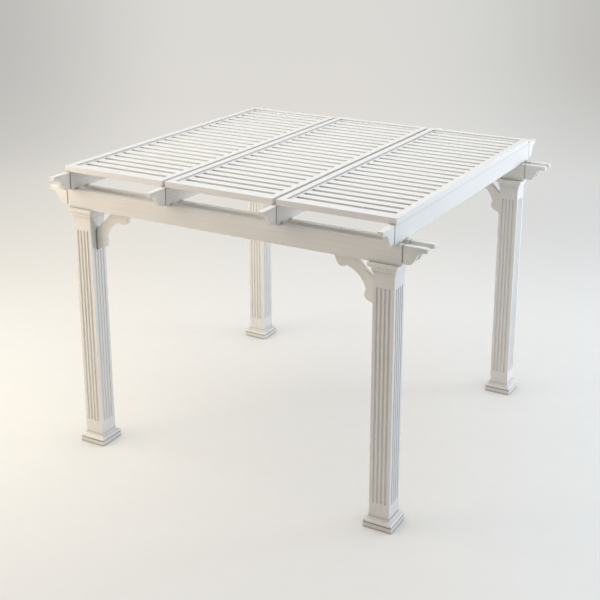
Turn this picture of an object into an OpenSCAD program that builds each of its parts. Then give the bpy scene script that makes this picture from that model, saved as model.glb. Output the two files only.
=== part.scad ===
// Free-standing pergola: fluted posts, twin headers, rafters and slatted roof panels

/* [Frame] */
// Distance between post centres along the headers
span_x = 3000; // [2400:10:3600]
// Distance between post centres along the rafters
span_y = 2880; // [2400:10:3600]
// Height from the floor to the top of the capitals
clear_h = 2315; // [2100:5:2600]

/* [Posts] */
// Width of each square post
post_w = 186; // [140:1:220]
// Flutes on each face of a post
flute_count = 4; // [2:1:5]
// Distance between flute centres
flute_pitch = 36; // [28:1:44]
// Width of a flute at the face
flute_w = 20; // [16:1:26]
// Depth of a flute
flute_d = 8; // [3:0.5:8]
// Height from the floor to the lower ends of the flutes
flute_low = 222; // [150:1:300]
// Distance from the capital top down to the upper ends of the flutes
flute_drop = 203; // [150:1:300]

/* [Post bases] */
// Height of the square plinth
plinth_h = 44; // [30:1:60]
// Height of the shadow groove above the plinth
groove_h = 7; // [2:0.5:8]
// Depth of the shadow groove
groove_d = 8; // [2:0.5:10]
// Height of the plain band above the groove
base_band_h = 7; // [4:0.5:12]
// Radius of the rounded shoulder
base_round_r = 15; // [8:0.5:24]
// Width and height of the step inside the shoulder
base_step = 3; // [1:0.5:6]
// Radius of the upper cove
base_cove_r = 13; // [8:0.5:20]
// Height of the fillet that meets the post
base_fillet_h = 10; // [6:0.5:16]
// Projection of that fillet from the post
base_fillet_out = 6; // [4:0.5:10]
// Width of the open joint between fillet and post
base_joint = 2.5; // [1:0.5:3]
// Depth of that joint
base_joint_d = 8; // [3:0.5:12]

/* [Capitals] */
// Height of the bead that meets the post
bead_h = 18; // [10:0.5:24]
// Projection of the bead from the post
bead_out = 6; // [3:0.5:9]
// Height of the plain neck above the bead
neck_h = 18; // [10:0.5:24]
// Projection of the neck from the post
neck_out = 12; // [10:0.5:16]
// Radius of the cove above the neck
cap_cove_r = 20; // [12:0.5:28]
// Height of the fillet between cove and band
cap_fillet_h = 4; // [2:0.5:8]
// Projection of the band past the cove
cap_step = 5; // [2:0.5:8]
// Height of the top band
cap_band_h = 28; // [20:0.5:44]
// Thickness of the plate over the post
cap_plate_t = 12; // [6:0.5:20]

/* [Headers] */
// Height of each header board
header_h = 173; // [140:1:220]
// Thickness of each header board
header_t = 50; // [38:1:60]
// Width over the pair of boards
header_w = 186; // [150:1:240]
// Reach of the board past the post centre
header_seam = 148; // [130:1:200]

/* [Rafters] */
// Height of each rafter
rafter_h = 167; // [140:1:220]
// Thickness of each rafter
rafter_t = 50; // [38:1:60]
// Distance of the outer rafters outside the post centres
rafter_out = 84; // [40:1:110]
// Reach of the rafter board past the post centre
rafter_seam = 141; // [110:1:200]

/* [Scrolled ends] */
// Distance from the end of a board to the tip of its end piece
end_l = 208; // [180:1:240]
// Height of an end piece, hung level with the top of its board
end_h = 150; // [135:1:165]
// Height of the square nose
nose_h = 38; // [28:1:48]
// Length of the square nose
nose_l = 34; // [24:1:48]
// Height of the fillet behind the nose
nose_fillet = 3; // [1:0.5:6]
// Radius of the cove behind the nose
end_cove_r = 58; // [44:1:64]
// Radius of the rounded belly under the cove
end_belly_r = 48; // [36:1:56]
// Slope of the straight between cove and belly, in degrees
end_slope = 60; // [54:1:68]
// Share of an arc's radius at which a straight runs into the arc
turn_share = 0.98; // [0.95:0.005:0.99]
// Shadow gap between a board and its end piece
reveal = 10; // [4:0.5:14]
// Length of the spigot inside the board
spigot_l = 60; // [40:1:90]
// Wall of the board around the spigot
board_wall = 8; // [4:0.5:10]

/* [Brackets] */
// Leg of the bracket along the post and along the header
bracket_leg = 394; // [320:1:460]
// Thickness of the bracket
bracket_t = 42; // [30:1:60]
// Distance from the corner to the straight inner edge, along either leg
bracket_cut = 206; // [150:1:240]
// Radius of the arched underside
arch_r = 240; // [200:1:280]
// Distance of the arch centre from the post and from the header
arch_c = 330; // [300:1:380]
// Radius of the lobe at each end
lobe_r = 52; // [40:1:60]
// Distance of the lobe centre from the near face
lobe_in = 60; // [52:1:70]
// Distance of the lobe centre along the leg
lobe_along = 310; // [280:1:340]
// Height of the cleat between the header boards
cleat_h = 70; // [40:1:120]
// Length of the cleat
cleat_l = 140; // [100:1:180]

/* [Roof panels] */
// Reach of the panels past the post centres, sideways
panel_side = 117; // [90:1:150]
// Reach of the panels past the front post centres
panel_front = 138; // [100:1:170]
// Reach of the panels past the rear post centres
panel_rear = 80; // [60:1:120]
// Height of a panel frame
panel_h = 53; // [40:1:70]
// Gap between neighbouring panels
panel_gap = 33; // [10:1:45]
// Width of the raised lip round a panel
lip_w = 58; // [40:1:80]
// Height of the lip above the slats
lip_h = 15; // [6:0.5:22]
// Width of the side ledge that takes the slat ends
ledge_w = 22; // [18:1:40]
// Width of the flat rail inside the front lip
rail_front = 100; // [70:1:120]
// Width of the flat rail inside the rear lip
rail_rear = 42; // [30:1:80]
// Width of a slat
slat_w = 80; // [60:1:100]
// Least distance from one slat to the next
slat_pitch = 126; // [110:1:160]
// Thickness of a slat
slat_t = 22; // [12:1:30]
// Length of slat housed in the ledge at each end
slat_house = 14; // [8:1:16]

/* [Hidden] */
$fn = 72;
white = [0.93, 0.92, 0.89];
cream = [0.90, 0.89, 0.85];
post_x = span_x / 2;
post_y = span_y / 2;
neck_z = bead_h + neck_h;
cap_h = neck_z + cap_cove_r + cap_fillet_h + cap_band_h;
cap_w = post_w + 2 * (neck_out + cap_cove_r + cap_step);
base_w = post_w + 2 * (base_fillet_out + base_cove_r + base_step + base_round_r);
base_z1 = plinth_h + groove_h;
base_z2 = base_z1 + base_band_h;
base_z3 = base_z2 + base_round_r;
base_z4 = base_z3 + base_step + base_cove_r;
base_h = base_z4 + base_fillet_h;
post_h = clear_h - cap_plate_t;
flute_r = (flute_w * flute_w / 4 + flute_d * flute_d) / (2 * flute_d);
header_z = clear_h;
rafter_z = header_z + header_h;
panel_z = rafter_z + rafter_h;
header_y = header_w / 2 - header_t / 2;
panel_w = (span_x + 2 * panel_side - 2 * panel_gap) / 3;
panel_l = span_y + panel_front + panel_rear;
panel_y = (panel_rear - panel_front) / 2;
panel_pitch = panel_w + panel_gap;
slat_x = panel_w - 2 * (lip_w + ledge_w);
slat_run = panel_l - 2 * lip_w - rail_front - rail_rear;
slat_y = (rail_front - rail_rear) / 2;
slat_count = floor((slat_run + slat_w) / slat_pitch) - 1;
slat_step = (slat_run + slat_w) / (slat_count + 1);
slat_gap = slat_step - slat_w;
header_gap = header_w - 2 * header_t;
tail_x = -lobe_in;
tail_y = bracket_leg - lobe_along;
tail_r = lobe_r * turn_share;
tail_turn = atan2(tail_y, tail_x) - acos(tail_r / norm([tail_x, tail_y]));
rafter_x1 = post_x + rafter_out;
rafter_x2 = panel_pitch / 2;
cove_x = end_l - reveal - nose_l;
cove_z = end_h - nose_h - nose_fillet - end_cove_r;
cove_turn = end_cove_r * turn_share;
belly_z = end_belly_r * turn_share;
turn_r = cove_turn + belly_z;
slope_l = (cove_z - belly_z + turn_r * cos(end_slope)) / sin(end_slope);
belly_x = cove_x - turn_r * sin(end_slope) - slope_l * cos(end_slope);
upper_turn = [cove_x - cove_turn * sin(end_slope), cove_z + cove_turn * cos(end_slope)];
lower_turn = [belly_x + belly_z * sin(end_slope), belly_z - belly_z * cos(end_slope)];

// A centred strip of an outline, w wide, from height a to height b
module strip(w, a, b) {
    translate([-w / 2, a]) square([w, b - a]);
}

// A square moulding whose four sides all follow one outline
module square_moulding(w) {
    intersection() {
        rotate([90, 0, 0]) linear_extrude(height = w, center = true) children();
        rotate([90, 0, 90]) linear_extrude(height = w, center = true) children();
    }
}

module base_outline() {
    strip(base_w, 0, plinth_h);
    strip(base_w - 2 * groove_d, 0, base_z1);
    strip(base_w, base_z1, base_z2);
    strip(base_w - 2 * base_round_r, 0, base_z3);
    for (s = [-1, 1]) translate([s * (base_w / 2 - base_round_r), base_z2]) circle(r = base_round_r);
    difference() {
        strip(base_w - 2 * (base_round_r + base_step), 0, base_z4);
        for (s = [-1, 1])
            translate([s * (base_w / 2 - base_round_r - base_step), base_z4]) circle(r = base_cove_r);
    }
    strip(post_w + 2 * base_fillet_out, 0, base_h);
}

module capital_outline() {
    strip(post_w + 2 * bead_out, 0, bead_h);
    strip(post_w + 2 * neck_out, bead_h, neck_z);
    difference() {
        strip(cap_w - 2 * cap_step, neck_z, cap_h - cap_band_h);
        for (s = [-1, 1]) translate([s * (cap_w / 2 - cap_step), neck_z]) circle(r = cap_cove_r);
    }
    strip(cap_w, cap_h - cap_band_h, cap_h);
}

// One flute with rounded ends, cut into the face on the +X side
module flute(offset_y) {
    translate([post_w / 2 - flute_d + flute_r, offset_y, 0]) {
        translate([0, 0, flute_low + flute_r])
            cylinder(r = flute_r, h = clear_h - flute_drop - flute_low - 2 * flute_r);
        for (z = [flute_low + flute_r, clear_h - flute_drop - flute_r])
            translate([0, 0, z]) sphere(r = flute_r);
    }
}

module post() {
    color(white)
    difference() {
        translate([-post_w / 2, -post_w / 2, 0]) cube([post_w, post_w, post_h]);
        for (a = [0:3]) rotate(a * 90)
            for (i = [0:flute_count - 1]) flute((i - (flute_count - 1) / 2) * flute_pitch);
    }
}

module post_base() {
    color(white)
    difference() {
        square_moulding(base_w) base_outline();
        translate([-post_w / 2, -post_w / 2, -base_h]) cube([post_w, post_w, 3 * base_h]);
        translate([-post_w / 2 - base_joint, -post_w / 2 - base_joint, base_h - base_joint_d])
            cube([post_w + 2 * base_joint, post_w + 2 * base_joint, 2 * base_joint_d]);
    }
}

module capital() {
    color(white)
    translate([0, 0, clear_h - cap_h])
    difference() {
        square_moulding(cap_w) capital_outline();
        translate([-post_w / 2, -post_w / 2, -cap_plate_t]) cube([post_w, post_w, cap_h]);
    }
}

// Side view of a scrolled end: square nose, cove, straight slope and rounded belly
module end_outline() {
    translate([0, end_h - nose_h]) square([cove_x + nose_l, nose_h]);
    difference() {
        polygon([[0, 0], [belly_x, 0], lower_turn, upper_turn,
                 [cove_x, upper_turn[1]], [cove_x, end_h], [0, end_h]]);
        translate([cove_x, cove_z]) circle(r = end_cove_r);
    }
    intersection() {
        translate([belly_x, 0]) square([end_belly_r, belly_z]);
        translate([belly_x, belly_z]) circle(r = end_belly_r);
    }
}

// A scrolled end along +X with its spigot, level with the top of a board h high, seam at x = 0
module scrolled_end(h, t) {
    translate([reveal, t / 2, h - end_h])
        rotate([90, 0, 0]) linear_extrude(height = t) end_outline();
    spigot(h, t);
}

module spigot(h, t) {
    translate([reveal - spigot_l, board_wall - t / 2, h - end_h + board_wall])
        cube([spigot_l + board_wall, t - 2 * board_wall, end_h - 2 * board_wall]);
}

// A board along X, centred, with a socket in each end
module board(l, h, t) {
    difference() {
        translate([-l / 2, -t / 2, 0]) cube([l, t, h]);
        for (a = [0, 180]) rotate(a) translate([l / 2, 0, 0]) spigot(h, t);
    }
}

module header(y) {
    color(white) translate([0, y, header_z]) board(span_x + 2 * header_seam, header_h, header_t);
}

module header_ends(sx, sy) {
    color(cream)
    for (k = [-1, 1])
        translate([sx * (post_x + header_seam), sy * post_y + k * header_y, header_z])
            rotate(sx < 0 ? 180 : 0) scrolled_end(header_h, header_t);
}

module rafter(x) {
    color(white)
    translate([x, 0, rafter_z]) rotate(90) board(span_y + 2 * rafter_seam, rafter_h, rafter_t);
}

module rafter_end(x, sy) {
    color(cream)
    translate([x, sy * (post_y + rafter_seam), rafter_z])
        rotate(sy * 90) scrolled_end(rafter_h, rafter_t);
}

// Bracket outline: corner of post face and header underside at the origin, legs along +X and +Y
module bracket_outline() {
    difference() {
        polygon([[0, bracket_cut], [bracket_cut, 0], [lobe_along, 0],
                 [lobe_along, lobe_along], [0, lobe_along]]);
        translate([arch_c, arch_c]) circle(r = arch_r);
    }
    for (m = [0, 1]) mirror([m, -m, 0]) {
        translate([lobe_in, lobe_along]) circle(r = lobe_r);
        polygon([[0, lobe_along], [lobe_in, lobe_along],
                 [lobe_in + tail_r * cos(tail_turn), lobe_along + tail_r * sin(tail_turn)],
                 [0, bracket_leg]]);
    }
}

module bracket(sx, sy) {
    color(white)
    translate([sx * post_x, sy * post_y, clear_h])
    rotate(sx > 0 ? 180 : 0) {
        translate([post_w / 2, 0, 0]) rotate([-90, 0, 0])
            linear_extrude(height = bracket_t, center = true) bracket_outline();
        translate([post_w / 2 + bracket_cut, -header_gap / 2, 0]) cube([cleat_l, header_gap, cleat_h]);
    }
}

// The slats of one panel, centred on the panel
module slat_row() {
    first_y = slat_y + slat_gap - slat_run / 2;
    for (i = [0:slat_count - 1])
        translate([-slat_x / 2 - slat_house, first_y + i * slat_step, panel_h - lip_h - slat_t])
            cube([slat_x + 2 * slat_house, slat_w, slat_t]);
}

module panel_frame(k) {
    color(white)
    translate([k * panel_pitch, panel_y, panel_z])
    difference() {
        translate([-panel_w / 2, -panel_l / 2, 0]) cube([panel_w, panel_l, panel_h]);
        translate([lip_w - panel_w / 2, lip_w - panel_l / 2, panel_h - lip_h])
            cube([panel_w - 2 * lip_w, panel_l - 2 * lip_w, panel_h]);
        translate([-slat_x / 2, slat_y - slat_run / 2, -panel_h]) cube([slat_x, slat_run, 3 * panel_h]);
        slat_row();
    }
}

module panel_slats(k) {
    color(cream)
    translate([k * panel_pitch, panel_y, panel_z]) slat_row();
}

module at_post(sx, sy) {
    translate([sx * post_x, sy * post_y, 0]) children();
}

at_post(-1, -1) post();  // post_front_left
at_post(1, -1) post();  // post_front_right
at_post(-1, 1) post();  // post_rear_left
at_post(1, 1) post();  // post_rear_right
at_post(-1, -1) post_base();  // base_front_left
at_post(1, -1) post_base();  // base_front_right
at_post(-1, 1) post_base();  // base_rear_left
at_post(1, 1) post_base();  // base_rear_right
at_post(-1, -1) capital();  // capital_front_left
at_post(1, -1) capital();  // capital_front_right
at_post(-1, 1) capital();  // capital_rear_left
at_post(1, 1) capital();  // capital_rear_right
bracket(-1, -1);  // bracket_front_left
bracket(1, -1);  // bracket_front_right
bracket(-1, 1);  // bracket_rear_left
bracket(1, 1);  // bracket_rear_right
header(-post_y - header_y);  // header_front_outer
header(header_y - post_y);  // header_front_inner
header(post_y - header_y);  // header_rear_inner
header(post_y + header_y);  // header_rear_outer
header_ends(-1, -1);  // header_ends_front_left
header_ends(1, -1);  // header_ends_front_right
header_ends(-1, 1);  // header_ends_rear_left
header_ends(1, 1);  // header_ends_rear_right
rafter(-rafter_x1);  // rafter_left
rafter(-rafter_x2);  // rafter_mid_left
rafter(rafter_x2);  // rafter_mid_right
rafter(rafter_x1);  // rafter_right
rafter_end(-rafter_x1, -1);  // rafter_end_front_left
rafter_end(-rafter_x2, -1);  // rafter_end_front_mid_left
rafter_end(rafter_x2, -1);  // rafter_end_front_mid_right
rafter_end(rafter_x1, -1);  // rafter_end_front_right
rafter_end(-rafter_x1, 1);  // rafter_end_rear_left
rafter_end(-rafter_x2, 1);  // rafter_end_rear_mid_left
rafter_end(rafter_x2, 1);  // rafter_end_rear_mid_right
rafter_end(rafter_x1, 1);  // rafter_end_rear_right
panel_frame(-1);  // panel_left_frame
panel_frame(0);  // panel_mid_frame
panel_frame(1);  // panel_right_frame
panel_slats(-1);  // panel_left_slats
panel_slats(0);  // panel_mid_slats
panel_slats(1);  // panel_right_slats
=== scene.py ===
import bpy
import math
from mathutils import Matrix, Vector


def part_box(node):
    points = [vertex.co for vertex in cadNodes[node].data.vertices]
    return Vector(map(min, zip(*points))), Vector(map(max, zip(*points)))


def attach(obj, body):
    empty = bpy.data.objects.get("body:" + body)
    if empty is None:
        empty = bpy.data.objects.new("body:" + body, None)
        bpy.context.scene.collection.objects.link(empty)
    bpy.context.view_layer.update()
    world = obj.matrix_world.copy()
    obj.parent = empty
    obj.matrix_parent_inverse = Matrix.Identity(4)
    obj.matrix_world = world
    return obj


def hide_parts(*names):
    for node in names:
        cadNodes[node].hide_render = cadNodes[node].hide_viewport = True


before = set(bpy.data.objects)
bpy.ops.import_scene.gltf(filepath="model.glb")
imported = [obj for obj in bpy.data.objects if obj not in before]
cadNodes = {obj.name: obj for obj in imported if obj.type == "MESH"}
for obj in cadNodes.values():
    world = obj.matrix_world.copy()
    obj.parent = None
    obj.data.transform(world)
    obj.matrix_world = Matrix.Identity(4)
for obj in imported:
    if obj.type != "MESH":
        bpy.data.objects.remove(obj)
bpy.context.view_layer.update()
scene = bpy.context.scene
scene.view_settings.view_transform = "Standard"
print("frame loaded:", len(cadNodes), "pieces")


def linear(hexColour):  # sRGB hex to linear RGBA
    parts = [int(hexColour[i:i + 2], 16) / 255 for i in (1, 3, 5)]
    return tuple(c / 12.92 if c <= 0.04045 else ((c + 0.055) / 1.055) ** 2.4 for c in parts) + (1.0,)


def addNode(tree, kind, settings=None, inputs=None):  # an input is a value or a socket to link from
    node = tree.nodes.new(kind)
    for name, value in (settings or {}).items():
        setattr(node, name, value)
    for name, value in (inputs or {}).items():
        if isinstance(value, bpy.types.NodeSocket):
            tree.links.new(value, node.inputs[name])
        else:
            node.inputs[name].default_value = value
    return node


def emptyTree(owner):
    owner.use_nodes = True
    owner.node_tree.nodes.clear()
    return owner.node_tree


# vinyl: extruded rigid PVC, drawn through a die, so faint streaks run along each board,
# the skin is satin with a slight orange peel, and painted shade darkens its corners and gaps
vinylFinish = {
    "streakWide": 0.011,        # die lines, about 11 mm apart
    "streakLong": 0.85,
    "streakDetail": 3.0,
    "streakRough": 0.55,
    "streakSpan": (0.35, 0.7),  # noise where the streak tone begins and where it is full
    "streakRelief": 0.6,        # height of the streaks against the peel
    "mottle": 0.3,              # moulded pieces have a soft mottle this much coarser, and no streaks
    "cloud": 0.24,              # slow change of gloss along a board
    "cloudSpan": (0.3, 0.7),
    "glossSpread": (-0.05, 0.06),
    "peel": 0.006,              # real peel is near 1 mm, drawn 6 mm so that it shows
    "peelDeep": 0.00012,
    "peelStrength": 0.35,
    "softDetail": 2.0,          # of the cloud and the peel
    "cornerShadeSpan": (0.96, 0.45),  # openness where the painted corner shade begins and where it is full
    "cornerShadeRays": 8,
    "ior": 1.53,
}
vinyls = {  # slot: finish name, tone, streak tone, painted corner shade tone, roughness, run, reach of that painted shade, its depth
    "post_vinyl": ("satinVinylPost", "#EFEDE9", "#E9E6E1", "#A8A39B", 0.42, "z", 0.024, 0.32),
    "trim_vinyl": ("mouldedVinylTrim", "#EFEDE8", "#EAE7E1", "#7A756E", 0.46, "all", 0.020, 0.92),
    "board_vinyl": ("satinVinylBoard", "#EEECE8", "#E8E5E0", "#9A958D", 0.40, "x", 0.030, 0.55),
    "rafter_vinyl": ("satinVinylRafter", "#EEECE8", "#E8E5E0", "#9A958D", 0.40, "y", 0.030, 0.80),
    "end_vinyl": ("mouldedVinylEnd", "#EEECE7", "#E9E6E0", "#9A958D", 0.44, "all", 0.030, 0.60),
    "panel_vinyl": ("satinVinylPanel", "#F0EEEA", "#EAE8E4", "#9C9892", 0.40, "y", 0.034, 0.70),
    "slat_vinyl": ("satinVinylSlat", "#F0EFEB", "#EBE9E5", "#7E7A74", 0.42, "x", 0.090, 0.60),
}


def makeVinyl(name, tone, streakTone, cornerShadeTone, rough, run, reach, depth):
    finish = vinylFinish
    material = bpy.data.materials.new(name)
    tree = emptyTree(material)
    coords = addNode(tree, "ShaderNodeTexCoord")
    across = 1 / finish["streakWide"]
    along = 1 / finish["streakLong"]
    stretch = [along if axis == run else across for axis in "xyz"]
    if run == "all":
        stretch = [across * finish["mottle"]] * 3
    placed = addNode(tree, "ShaderNodeMapping", inputs={"Vector": coords.outputs["Object"], "Scale": stretch})
    streaks = addNode(tree, "ShaderNodeTexNoise", inputs={
        "Vector": placed.outputs["Vector"], "Scale": 1.0,
        "Detail": finish["streakDetail"], "Roughness": finish["streakRough"]})
    cloud = addNode(tree, "ShaderNodeTexNoise", inputs={
        "Vector": coords.outputs["Object"], "Scale": 1 / finish["cloud"], "Detail": finish["softDetail"]})
    peel = addNode(tree, "ShaderNodeTexNoise", inputs={
        "Vector": coords.outputs["Object"], "Scale": 1 / finish["peel"], "Detail": finish["softDetail"]})
    begins, full = finish["streakSpan"]
    streakShare = addNode(tree, "ShaderNodeMapRange", inputs={
        "Value": streaks.outputs["Fac"], "From Min": begins, "From Max": full})
    drawn = addNode(tree, "ShaderNodeMix", {"data_type": "RGBA"}, {
        "Factor": streakShare.outputs["Result"], 6: linear(tone), 7: linear(streakTone)})
    # painted shade: the colour darkens toward the corner shade tone where nearby surfaces hem a spot in, in
    # grooves, flutes, steps and slat gaps
    corner = addNode(tree, "ShaderNodeAmbientOcclusion", {"samples": finish["cornerShadeRays"]}, {"Distance": reach})
    begins, full = finish["cornerShadeSpan"]
    cornerShadeShare = addNode(tree, "ShaderNodeMapRange", inputs={
        "Value": corner.outputs["AO"], "From Min": begins, "From Max": full, "To Max": depth})
    shaded = addNode(tree, "ShaderNodeMix", {"data_type": "RGBA"}, {
        "Factor": cornerShadeShare.outputs["Result"], 6: drawn.outputs[2], 7: linear(cornerShadeTone)})
    begins, full = finish["cloudSpan"]
    shinier, duller = finish["glossSpread"]
    gloss = addNode(tree, "ShaderNodeMapRange", inputs={
        "Value": cloud.outputs["Fac"], "From Min": begins, "From Max": full,
        "To Min": rough + shinier, "To Max": rough + duller})
    height = addNode(tree, "ShaderNodeMath", {"operation": "MULTIPLY_ADD"}, {
        0: streaks.outputs["Fac"], 1: finish["streakRelief"], 2: peel.outputs["Fac"]})
    bump = addNode(tree, "ShaderNodeBump", inputs={
        "Height": height.outputs[0], "Strength": finish["peelStrength"], "Distance": finish["peelDeep"]})
    skin = addNode(tree, "ShaderNodeBsdfPrincipled", inputs={
        "Base Color": shaded.outputs[2], "Roughness": gloss.outputs["Result"],
        "Normal": bump.outputs["Normal"], "IOR": finish["ior"]})
    addNode(tree, "ShaderNodeOutputMaterial", inputs={"Surface": skin.outputs["BSDF"]})
    return material


vinyl = {slot: makeVinyl(*values) for slot, values in vinyls.items()}
print("vinyl finishes:", len(vinyl))


# edges: every board and moulding has its arrises eased, as an extrusion does
edgeEase = {  # start of the name: finish, width of the eased edge
    "post": ("post_vinyl", 0.0025),
    "base": ("trim_vinyl", 0.0014),
    "capital": ("trim_vinyl", 0.0014),
    "bracket": ("trim_vinyl", 0.0030),
    "header_ends": ("end_vinyl", 0.0025),
    "header": ("board_vinyl", 0.0025),
    "rafter_end": ("end_vinyl", 0.0025),
    "rafter": ("rafter_vinyl", 0.0025),
    "panel": ("panel_vinyl", 0.0022),
}
easeSpec = {
    "weld": 0.00002,
    "flat": 0.4,      # degrees, faces that turn less than this are one
    "sharp": 38,      # degrees, edges that turn more than this are eased
    "steps": 2,
    "arris": 0.0005,  # a point this near to two sides of a post lies on its arris
}


def cornerGroup(piece):  # the four long arrises of a post, so that the flute rims stay crisp
    low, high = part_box(piece.name)
    group = piece.vertex_groups.new(name="corners")
    for vertex in piece.data.vertices:
        spot = piece.matrix_world @ vertex.co
        if all(min(spot[i] - low[i], high[i] - spot[i]) < easeSpec["arris"] for i in (0, 1)):
            group.add([vertex.index], 1.0, "REPLACE")
    return group.name


def easeEdges(piece, width):
    weld = piece.modifiers.new("joinFaces", "WELD")
    weld.merge_threshold = easeSpec["weld"]
    flat = piece.modifiers.new("flatFaces", "DECIMATE")
    flat.decimate_type = "DISSOLVE"
    flat.angle_limit = math.radians(easeSpec["flat"])
    ease = piece.modifiers.new("easedEdges", "BEVEL")
    if piece.name.startswith("post"):
        ease.limit_method = "VGROUP"
        ease.vertex_group = cornerGroup(piece)
    else:
        ease.limit_method = "ANGLE"
        ease.angle_limit = math.radians(easeSpec["sharp"])
    ease.width = width
    ease.segments = easeSpec["steps"]
    ease.use_clamp_overlap = False
    normals = piece.modifiers.new("evenNormals", "WEIGHTED_NORMAL")
    normals.keep_sharp = False


for name, piece in cadNodes.items():
    kind = next(k for k in edgeEase if name.startswith(k))
    slot, width = edgeEase[kind]
    piece.data.materials.clear()
    piece.data.materials.append(vinyl[slot])
    if not name.endswith("slats"):
        easeEdges(piece, width)
print("CAD pieces dressed")


# roof slats: one run per panel, each slat an extrusion with rounded edges
slatSpec = {
    "count": 22,
    "wide": 0.080,
    "edge": 0.0035,  # radius along the arrises
    "edgeSteps": 3,
}
slatInputs = {
    "count": "NodeSocketInt", "long": "NodeSocketFloat", "wide": "NodeSocketFloat",
    "thick": "NodeSocketFloat", "edge": "NodeSocketFloat", "first": "NodeSocketVector",
    "step": "NodeSocketVector", "finish": "NodeSocketMaterial",
}


def makeSlatTree():
    tree = bpy.data.node_groups.new("slatRun", "GeometryNodeTree")
    face = tree.interface
    for name, kind in slatInputs.items():
        face.new_socket(name, in_out="INPUT", socket_type=kind)
    face.new_socket("slats", in_out="OUTPUT", socket_type="NodeSocketGeometry")
    given = addNode(tree, "NodeGroupInput").outputs
    section = addNode(tree, "GeometryNodeCurvePrimitiveQuadrilateral", inputs={
        "Width": given["wide"], "Height": given["thick"]})
    rounded = addNode(tree, "GeometryNodeFilletCurve", {"mode": "POLY"}, {
        "Curve": section.outputs["Curve"], "Radius": given["edge"], "Count": slatSpec["edgeSteps"]})
    half = addNode(tree, "ShaderNodeMath", {"operation": "MULTIPLY"}, {0: given["long"], 1: 0.5})
    back = addNode(tree, "ShaderNodeMath", {"operation": "MULTIPLY"}, {0: given["long"], 1: -0.5})
    left = addNode(tree, "ShaderNodeCombineXYZ", inputs={"X": back.outputs[0]})
    right = addNode(tree, "ShaderNodeCombineXYZ", inputs={"X": half.outputs[0]})
    path = addNode(tree, "GeometryNodeCurvePrimitiveLine", inputs={
        "Start": left.outputs[0], "End": right.outputs[0]})
    level = addNode(tree, "GeometryNodeSetCurveNormal", {"mode": "Z_UP"}, {"Curve": path.outputs["Curve"]})
    slat = addNode(tree, "GeometryNodeCurveToMesh", inputs={
        "Curve": level.outputs["Curve"], "Profile Curve": rounded.outputs["Curve"], "Fill Caps": True})
    spots = addNode(tree, "GeometryNodeMeshLine", {"mode": "OFFSET"}, {
        "Count": given["count"], "Start Location": given["first"], "Offset": given["step"]})
    laid = addNode(tree, "GeometryNodeInstanceOnPoints", inputs={
        "Points": spots.outputs["Mesh"], "Instance": slat.outputs["Mesh"]})
    real = addNode(tree, "GeometryNodeRealizeInstances", inputs={"Geometry": laid.outputs["Instances"]})
    flat = addNode(tree, "GeometryNodeSetShadeSmooth", inputs={
        "Geometry": real.outputs["Geometry"], "Shade Smooth": False})
    dressed = addNode(tree, "GeometryNodeSetMaterial", inputs={
        "Geometry": flat.outputs["Geometry"], "Material": given["finish"]})
    addNode(tree, "NodeGroupOutput", inputs={"slats": dressed.outputs["Geometry"]})
    return tree


def grow(name, tree, values):  # runs a node tree and keeps its result as a plain mesh
    holder = bpy.data.objects.new(name + "Holder", bpy.data.meshes.new(name + "Holder"))
    scene.collection.objects.link(holder)
    nodesOn = holder.modifiers.new("grow", "NODES")
    nodesOn.node_group = tree
    for item in tree.interface.items_tree:
        if item.in_out == "INPUT":
            nodesOn[item.identifier] = values[item.name]
    bpy.context.view_layer.update()
    grown = holder.evaluated_get(bpy.context.evaluated_depsgraph_get())
    mesh = bpy.data.meshes.new_from_object(grown)
    holder.modifiers.remove(nodesOn)
    bpy.data.objects.remove(holder)
    mesh.name = name
    piece = bpy.data.objects.new(name, mesh)
    scene.collection.objects.link(piece)
    return piece


slatTree = makeSlatTree()
for side in ("left", "mid", "right"):
    low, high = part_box("panel_%s_slats" % side)
    step = (high.y - low.y - slatSpec["wide"]) / (slatSpec["count"] - 1)
    middle = (low + high) / 2
    piece = grow("slatRun_" + side, slatTree, {
        "count": slatSpec["count"], "long": high.x - low.x, "wide": slatSpec["wide"],
        "thick": high.z - low.z, "edge": slatSpec["edge"],
        "first": (middle.x, low.y + slatSpec["wide"] / 2, middle.z), "step": (0, step, 0),
        "finish": vinyl["slat_vinyl"]})
    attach(piece, "root")
    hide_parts("panel_%s_slats" % side)
    print("slats", side, len(piece.data.polygons), "faces, pitch", round(step * 1000, 1), "mm")


def lookedAt(tree):  # 1 for what is seen straight, in a gloss or through glass, 0 for light that bounces
    path = addNode(tree, "ShaderNodeLightPath")
    shown = addNode(tree, "ShaderNodeMath", {"operation": "MAXIMUM"}, {
        0: path.outputs["Is Camera Ray"], 1: path.outputs["Is Glossy Ray"]})
    looked = addNode(tree, "ShaderNodeMath", {"operation": "MAXIMUM"}, {
        0: shown.outputs[0], 1: path.outputs["Is Transmission Ray"]})
    return looked.outputs[0]


# stage: a pale floor that keeps the shadow and fades out to the backdrop, with painted shade darkening it
# around each base
stageSpec = {
    "radius": 11.0,
    "ring": 96,                  # points around the rim
    "solid": 5.0,                # the floor is whole this far from the middle
    "cover": 0.34,               # how much of the floor the camera sees, the rest is backdrop
    "tone": "#E9E6E1",
    "grainTone": "#E4E1DC",
    "grain": 6.0,
    "contact": 0.55,             # reach of the painted shade around a base
    "contactSpan": (0.97, 0.5),  # openness where that painted shade begins and where it is full
    "contactRays": 6,
    "contactCover": 0.75,
    # colour of the painted shade around a base
    "contactShadeTone": "#A9A6A2",
}


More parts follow.
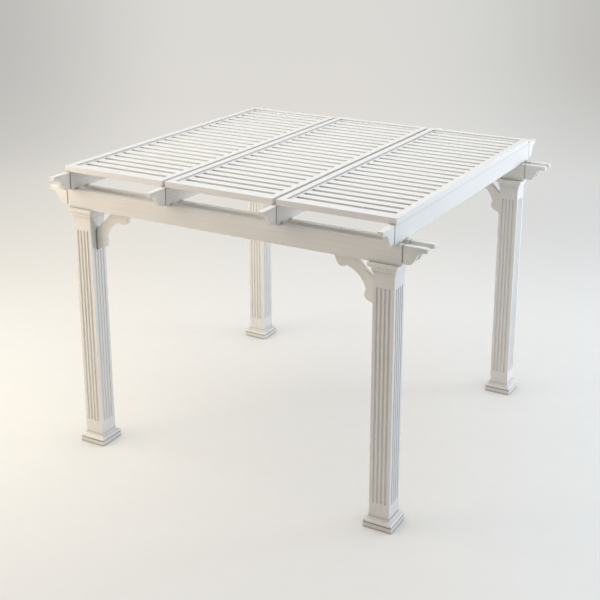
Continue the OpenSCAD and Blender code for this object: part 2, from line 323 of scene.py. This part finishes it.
def makeFloor():
    spec = stageSpec
    ring = spec["ring"]
    turns = [2 * math.pi * i / ring for i in range(ring)]
    points = [(0, 0, 0)] + [(spec["radius"] * math.cos(t), spec["radius"] * math.sin(t), 0) for t in turns]
    mesh = bpy.data.meshes.new("studioFloor")
    mesh.from_pydata(points, [], [(0, 1 + i, 1 + (i + 1) % ring) for i in range(ring)])
    floor = bpy.data.objects.new("studioFloor", mesh)
    scene.collection.objects.link(floor)
    material = bpy.data.materials.new("paintedFloor")
    tree = emptyTree(material)
    coords = addNode(tree, "ShaderNodeTexCoord")
    away = addNode(tree, "ShaderNodeVectorMath", {"operation": "LENGTH"}, {0: coords.outputs["Object"]})
    fade = addNode(tree, "ShaderNodeMapRange", {"interpolation_type": "SMOOTHSTEP"}, {
        "Value": away.outputs["Value"], "From Min": spec["solid"], "From Max": spec["radius"],
        "To Min": spec["cover"], "To Max": 0.0})
    # painted shade: where the bases hem the floor in, its colour darkens toward the contact shade tone and more
    # of the floor is seen
    nearby = addNode(tree, "ShaderNodeAmbientOcclusion", {"samples": spec["contactRays"]}, {
        "Distance": spec["contact"]})
    begins, full = spec["contactSpan"]
    contact = addNode(tree, "ShaderNodeMapRange", inputs={
        "Value": nearby.outputs["AO"], "From Min": begins, "From Max": full, "To Max": spec["contactCover"]})
    cover = addNode(tree, "ShaderNodeMath", {"operation": "MAXIMUM"}, {
        0: fade.outputs["Result"], 1: contact.outputs["Result"]})
    grain = addNode(tree, "ShaderNodeTexNoise", inputs={
        "Vector": coords.outputs["Object"], "Scale": spec["grain"]})
    paint = addNode(tree, "ShaderNodeMix", {"data_type": "RGBA"}, {
        "Factor": grain.outputs["Fac"], 6: linear(spec["tone"]), 7: linear(spec["grainTone"])})
    shaded = addNode(tree, "ShaderNodeMix", {"data_type": "RGBA"}, {
        "Factor": contact.outputs["Result"], 6: paint.outputs[2], 7: linear(spec["contactShadeTone"])})
    matt = addNode(tree, "ShaderNodeBsdfDiffuse", inputs={"Color": shaded.outputs[2]})
    clear = addNode(tree, "ShaderNodeBsdfTransparent")
    seen = addNode(tree, "ShaderNodeMixShader", inputs={
        0: cover.outputs[0], 1: clear.outputs[0], 2: matt.outputs[0]})
    both = addNode(tree, "ShaderNodeMixShader", inputs={
        0: lookedAt(tree), 1: matt.outputs[0], 2: seen.outputs[0]})
    addNode(tree, "ShaderNodeOutputMaterial", inputs={"Surface": both.outputs[0]})
    mesh.materials.append(material)


makeFloor()


# backdrop: a pale cove that is seen but gives no light, its tones painted as light and shade, with a plain even
# sky to light the shade
worldSpec = {
    "ambient": "#F5F8FF",
    "ambientLevel": 0.236,
    "yaw": 0.485,  # the way the camera faces, so that left and right of the backdrop can differ
    "rise": (-0.62, 0.0),  # how far down the eye looks at both ends of the ramp
    # the ramp paints the backdrop lighter and darker by how far up the eye looks
    "ramp": ((0.0, "#EBE9E5"), (0.16, "#EAE8E4"), (0.28, "#ECEAE6"), (0.40, "#FAF8F5"),
             (0.48, "#F4F2EE"), (0.56, "#E7E4DE"), (0.70, "#DEDBD6"), (1.0, "#D9D8D4")),
    "glowTone": "#FFFAEE",  # painted warm light, low on the left
    "coolTone": "#EEF4F7",  # painted cool light, on the right
    "coolDepth": 0.75,
    "dimTone": "#BEBCB8",   # painted shade in the upper corners
}
worldSpans = {  # name: axis, where it begins, where it is full, how it blends
    "leftShare": ("X", 0.02, -0.30, "SMOOTHSTEP"),
    "rightShare": ("X", 0.0, 0.28, "SMOOTHSTEP"),
    "farLeft": ("X", -0.13, -0.33, "SMOOTHSTEP"),
    "low": ("Z", -0.21, -0.33, "SMOOTHSTEP"),
    "near": ("Z", -0.60, -0.45, "LINEAR"),
    "high": ("Z", -0.37, -0.13, "SMOOTHSTEP"),
}


def makeWorld():
    spec = worldSpec
    world = bpy.data.worlds.new("studio")
    scene.world = world
    tree = emptyTree(world)
    coords = addNode(tree, "ShaderNodeTexCoord")
    turned = addNode(tree, "ShaderNodeMapping", {"vector_type": "POINT"}, {
        "Vector": coords.outputs["Generated"], "Rotation": (0, 0, -spec["yaw"])})
    parts = addNode(tree, "ShaderNodeSeparateXYZ", inputs={"Vector": turned.outputs["Vector"]})
    foot, top = spec["rise"]
    rise = addNode(tree, "ShaderNodeMapRange", inputs={
        "Value": parts.outputs["Z"], "From Min": foot, "From Max": top})
    wall = addNode(tree, "ShaderNodeValToRGB", {}, {"Fac": rise.outputs["Result"]})
    ramp = wall.color_ramp
    while len(ramp.elements) < len(spec["ramp"]):
        ramp.elements.new(0.5)
    for element, (place, tone) in zip(ramp.elements, spec["ramp"]):
        element.position = place
        element.color = linear(tone)
    share = {}
    for name, (axis, begins, full, blend) in worldSpans.items():
        share[name] = addNode(tree, "ShaderNodeMapRange", {"interpolation_type": blend}, {
            "Value": parts.outputs[axis], "From Min": begins, "From Max": full}).outputs["Result"]
    band = addNode(tree, "ShaderNodeMath", {"operation": "MULTIPLY"}, {0: share["low"], 1: share["near"]})
    glow = addNode(tree, "ShaderNodeMath", {"operation": "MULTIPLY"}, {
        0: share["leftShare"], 1: band.outputs[0]})
    sides = addNode(tree, "ShaderNodeMath", {"operation": "MAXIMUM"}, {
        0: share["farLeft"], 1: share["rightShare"]})
    dim = addNode(tree, "ShaderNodeMath", {"operation": "MULTIPLY"}, {
        0: sides.outputs[0], 1: share["high"]})
    warm = addNode(tree, "ShaderNodeMix", {"data_type": "RGBA"}, {
        "Factor": glow.outputs[0], 6: wall.outputs["Color"], 7: linear(spec["glowTone"])})
    coolShare = addNode(tree, "ShaderNodeMath", {"operation": "MULTIPLY"}, {
        0: share["rightShare"], 1: spec["coolDepth"]})
    cool = addNode(tree, "ShaderNodeMix", {"data_type": "RGBA"}, {
        "Factor": coolShare.outputs[0], 6: warm.outputs[2], 7: linear(spec["coolTone"])})
    corner = addNode(tree, "ShaderNodeMix", {"data_type": "RGBA"}, {
        "Factor": dim.outputs[0], 6: cool.outputs[2], 7: linear(spec["dimTone"])})
    seen = addNode(tree, "ShaderNodeBackground", inputs={"Color": corner.outputs[2], "Strength": 1.0})
    light = addNode(tree, "ShaderNodeBackground", inputs={
        "Color": linear(spec["ambient"]), "Strength": spec["ambientLevel"]})
    both = addNode(tree, "ShaderNodeMixShader", inputs={
        0: lookedAt(tree), 1: light.outputs[0], 2: seen.outputs[0]})
    addNode(tree, "ShaderNodeOutputWorld", inputs={"Surface": both.outputs[0]})


makeWorld()
print("floor and backdrop set")


lamps = {  # place, aim, size, colour, watts
    "overhead": ((0.3, 0.4, 7.5), (0, 0, 2.6), 9.5, "#F9FCFF", 366),
    "topFront": ((-4.5, -5.5, 6.5), (0, -0.6, 2.3), 3.5, "#FFF3E5", 94),
    "warmCorner": ((-5.2, -4.6, 3.2), (0, 0.2, 1.5), 2.8, "#FFE6BC", 125),
    "warmSide": ((-6.2, -2.6, 3.2), (0, 0.2, 1.5), 2.6, "#FFFFFF", 122),
    "coolSide": ((8.0, 5.5, 2.4), (0.4, 0.2, 1.5), 3.2, "#F2F8FF", 422),
    "coolRight": ((9.0, 0.5, 2.4), (0.4, 0.2, 1.5), 3.2, "#9FD3FF", 80),
}
for name, (place, aim, size, tone, watts) in lamps.items():
    lamp = bpy.data.lights.new(name, "AREA")
    lamp.shape = "DISK"
    lamp.size = size
    lamp.color = linear(tone)[:3]
    lamp.energy = watts
    holder = bpy.data.objects.new(name, lamp)
    holder.location = place
    holder.rotation_euler = (Vector(aim) - Vector(place)).to_track_quat("-Z", "Y").to_euler()
    scene.collection.objects.link(holder)
print("lamps:", len(lamps))


# camera: solved from the photograph's post, header and panel corners and the gaps of its slats
cameraSpec = {
    "place": (4.8168, -8.5560, 5.0548),
    "yaw": 0.4829,
    "pitch": -0.2765,
    "roll": 0.0098,
    "pixels": 600,               # across the photograph
    "focus": 1069.06,            # in those pixels
    "centre": (342.68, 195.91),  # where the optical axis meets the photograph
    "sensor": 36,
}


def makeCamera():
    spec = cameraSpec
    cy, sy = math.cos(spec["yaw"]), math.sin(spec["yaw"])
    cp, sp = math.cos(spec["pitch"]), math.sin(spec["pitch"])
    ahead = Vector((-sy * cp, cy * cp, sp))
    right = Vector((cy, sy, 0))
    up = right.cross(ahead)
    cr, sr = math.cos(spec["roll"]), math.sin(spec["roll"])
    rolled = cr * right + sr * up
    tilted = -sr * right + cr * up
    data = bpy.data.cameras.new("photoView")
    data.sensor_width = spec["sensor"]
    data.lens = spec["focus"] * spec["sensor"] / spec["pixels"]
    data.shift_x = (spec["pixels"] / 2 - spec["centre"][0]) / spec["pixels"]
    data.shift_y = (spec["centre"][1] - spec["pixels"] / 2) / spec["pixels"]
    camera = bpy.data.objects.new("photoView", data)
    turn = Matrix((rolled, tilted, -ahead)).transposed().to_4x4()
    camera.matrix_world = Matrix.Translation(spec["place"]) @ turn
    scene.collection.objects.link(camera)
    scene.camera = camera


makeCamera()
print("camera set, lens", round(scene.camera.data.lens, 2), "mm")
